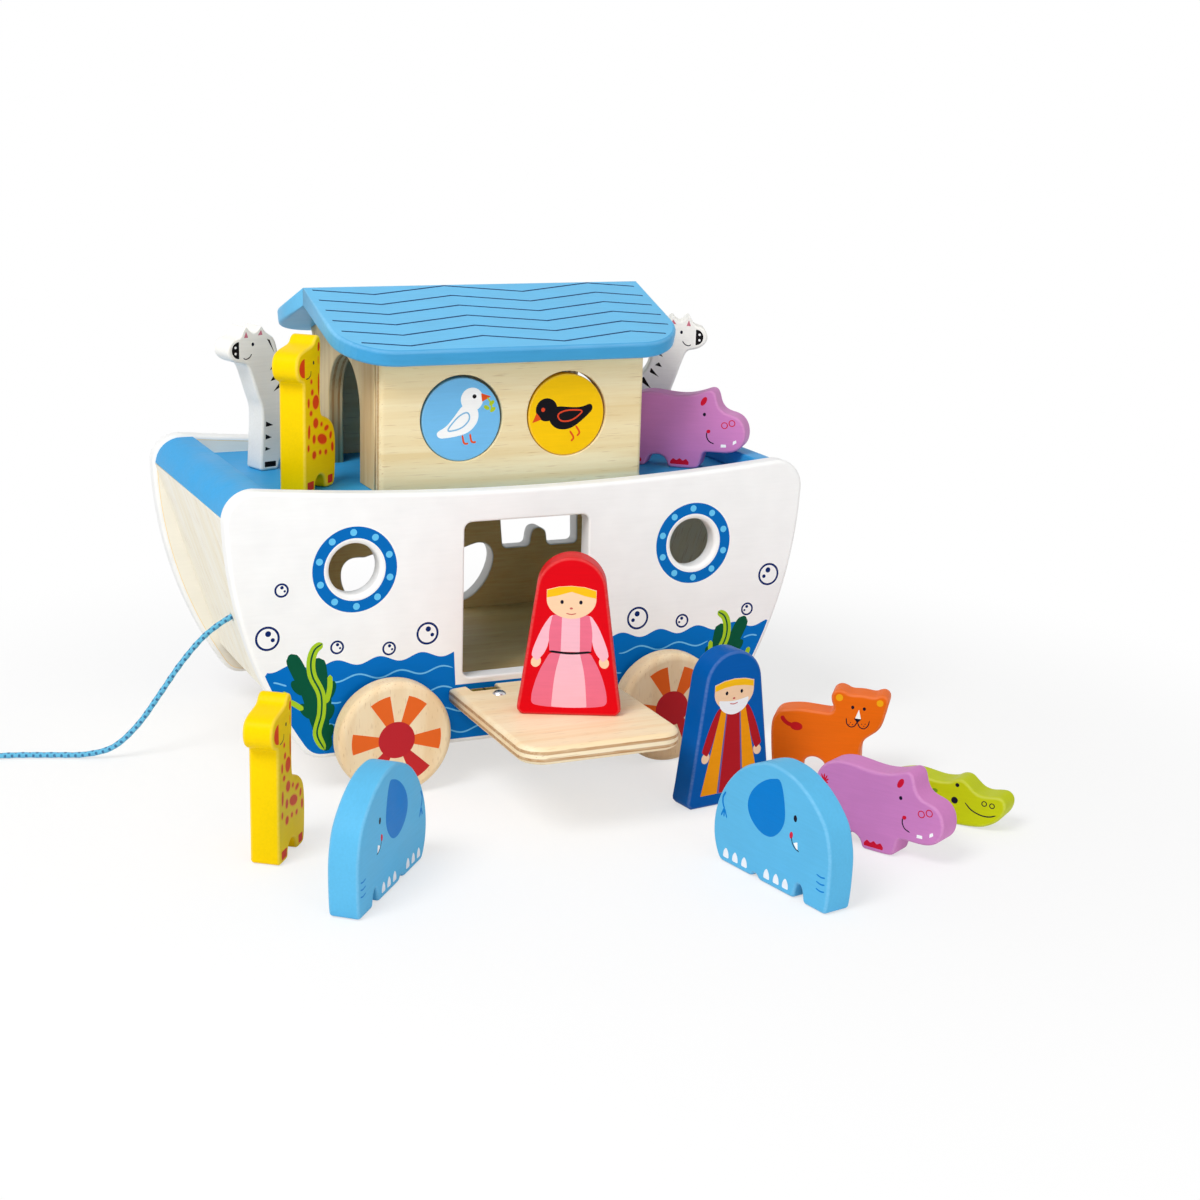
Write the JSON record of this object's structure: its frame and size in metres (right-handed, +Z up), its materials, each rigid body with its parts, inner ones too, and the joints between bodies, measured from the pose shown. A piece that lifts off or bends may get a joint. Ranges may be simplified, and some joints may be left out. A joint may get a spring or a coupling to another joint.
{
  "type": "toy ark",
  "caption": "Wooden toy ark on wheels with a folding ramp, lift-off roof, sorter holes, pull cord and flat animal and people figures.",
  "frame": {"origin": "on the table, under the middle of the whole set's bounding box, cord left out", "axes": "+Z up; X along the hull with its bow at -X; the ramp opens towards -Y"},
  "size_m": [0.4755, 0.3884, 0.2352],
  "materials": {
    "hull_white": "white satin paint over plywood",
    "plywood": "clear-coated plywood",
    "rail_blue": "blue satin paint",
    "roof_blue": "light-blue satin paint",
    "wheel_wood": "lacquered beech with a sunburst print",
    "disc_blue": "light-blue satin paint",
    "disc_yellow": "yellow satin paint",
    "brass": "plain brass",
    "steel": "bright steel",
    "cord_blue": "braided cotton",
    "elephant_blue": "satin paint with print",
    "giraffe_yellow": "satin paint with print",
    "zebra_white": "satin paint with print",
    "hippo_purple": "satin paint with print",
    "lion_orange": "satin paint with print",
    "crocodile_green": "satin paint with print",
    "woman_red": "satin paint with print",
    "man_blue": "satin paint with print"
  },
  "bodies": {
    "ark": {"hull_side_front": "hull_white", "hull_side_back": "hull_white", "hull_floor": "plywood", "bow_board": "plywood", "stern_board": "plywood", "bow_rail": "rail_blue", "stern_rail": "rail_blue", "deck_board": "rail_blue", "cabin_wall_front": "plywood", "cabin_wall_back": "plywood", "cabin_end_bow": "plywood", "cabin_end_stern": "plywood", "hinge_lug_bow": "brass", "hinge_lug_stern": "brass", "hinge_pin_bow": "steel", "hinge_pin_stern": "steel", "pull_cord": "cord_blue", "cord_coil": "cord_blue", "cord_knot": "cord_blue", "cord_end_knot": "cord_blue"},
    "roof": {"roof_board_front": "roof_blue", "roof_board_back": "roof_blue", "roof_gusset_bow": "plywood", "roof_gusset_stern": "plywood"},
    "ramp": {"ramp_door": "plywood", "ramp_eye_bow": "brass", "ramp_eye_stern": "brass", "ramp_screw_bow": "steel", "ramp_screw_stern": "steel"},
    "bow_wheelset": {"axle_bow": "plywood", "wheel_bow_front": "wheel_wood", "wheel_bow_back": "wheel_wood"},
    "stern_wheelset": {"axle_stern": "plywood", "wheel_stern_front": "wheel_wood", "wheel_stern_back": "wheel_wood"},
    "disc_bow": {"window_disc_bow": "disc_blue"},
    "disc_stern": {"window_disc_stern": "disc_yellow"},
    "elephant_left_figure": {"elephant_left": "elephant_blue"},
    "elephant_right_figure": {"elephant_right": "elephant_blue"},
    "giraffe_table_figure": {"giraffe_table": "giraffe_yellow"},
    "hippo_table_figure": {"hippo_table": "hippo_purple"},
    "lion_figure": {"lion": "lion_orange"},
    "crocodile_figure": {"crocodile": "crocodile_green"},
    "man_figure": {"man": "man_blue"},
    "giraffe_deck_figure": {"giraffe_deck": "giraffe_yellow"},
    "zebra_bow_figure": {"zebra_bow": "zebra_white"},
    "zebra_stern_figure": {"zebra_stern": "zebra_white"},
    "hippo_deck_figure": {"hippo_deck": "hippo_purple"},
    "woman_figure": {"woman": "woman_red"}
  },
  "joints": [
    {"name": "bow_wheels_turn", "type": "hinge", "parent": "ark", "child": "bow_wheelset", "pos_m": [-0.0851, 0.0992, 0.0287], "axis": [0, 1, 0], "continuous": true},
    {"name": "stern_wheels_turn", "type": "hinge", "parent": "ark", "child": "stern_wheelset", "pos_m": [0.0629, 0.0992, 0.0287], "axis": [0, 1, 0], "continuous": true},
    {"name": "ramp_hinge", "type": "hinge", "parent": "ark", "child": "ramp", "pos_m": [-0.0126, 0.01445, 0.04325], "axis": [-1, 0, 0], "range_deg": [0, 90]},
    {"name": "roof_lift", "type": "slide", "parent": "ark", "child": "roof", "axis": [0, 0, 1], "range_m": [0, 0.08]},
    {"name": "disc_bow_draw", "type": "slide", "parent": "ark", "child": "disc_bow", "axis": [0, -1, 0], "range_m": [0, 0.04]},
    {"name": "disc_stern_draw", "type": "slide", "parent": "ark", "child": "disc_stern", "axis": [0, -1, 0], "range_m": [0, 0.04]},
    {"name": "elephant_left_lift", "type": "slide", "parent": "ark", "child": "elephant_left_figure", "axis": [0, 0, 1], "range_m": [0, 0.05]},
    {"name": "elephant_right_lift", "type": "slide", "parent": "ark", "child": "elephant_right_figure", "axis": [0, 0, 1], "range_m": [0, 0.05]},
    {"name": "giraffe_table_lift", "type": "slide", "parent": "ark", "child": "giraffe_table_figure", "axis": [0, 0, 1], "range_m": [0, 0.05]},
    {"name": "hippo_table_lift", "type": "slide", "parent": "ark", "child": "hippo_table_figure", "axis": [0, 0, 1], "range_m": [0, 0.05]},
    {"name": "lion_lift", "type": "slide", "parent": "ark", "child": "lion_figure", "axis": [0, 0, 1], "range_m": [0, 0.05]},
    {"name": "crocodile_lift", "type": "slide", "parent": "ark", "child": "crocodile_figure", "axis": [0, 0, 1], "range_m": [0, 0.05]},
    {"name": "man_lift", "type": "slide", "parent": "ark", "child": "man_figure", "axis": [0, 0, 1], "range_m": [0, 0.05]},
    {"name": "giraffe_deck_lift", "type": "slide", "parent": "ark", "child": "giraffe_deck_figure", "axis": [0, 0, 1], "range_m": [0, 0.02]},
    {"name": "zebra_bow_lift", "type": "slide", "parent": "ark", "child": "zebra_bow_figure", "axis": [0, 0, 1], "range_m": [0, 0.02]},
    {"name": "zebra_stern_lift", "type": "slide", "parent": "ark", "child": "zebra_stern_figure", "axis": [0, 0, 1], "range_m": [0, 0.02]},
    {"name": "hippo_deck_lift", "type": "slide", "parent": "ark", "child": "hippo_deck_figure", "axis": [0, 0, 1], "range_m": [0, 0.02]},
    {"name": "woman_lift", "type": "slide", "parent": "ark", "child": "woman_figure", "axis": [0, -0.496, 0.8683], "range_m": [0, 0.1905]}
  ],
  "couplings": [
    {"joint": "woman_lift", "follows": "ramp_hinge", "m_per_rad": 0.12097}
  ]
}
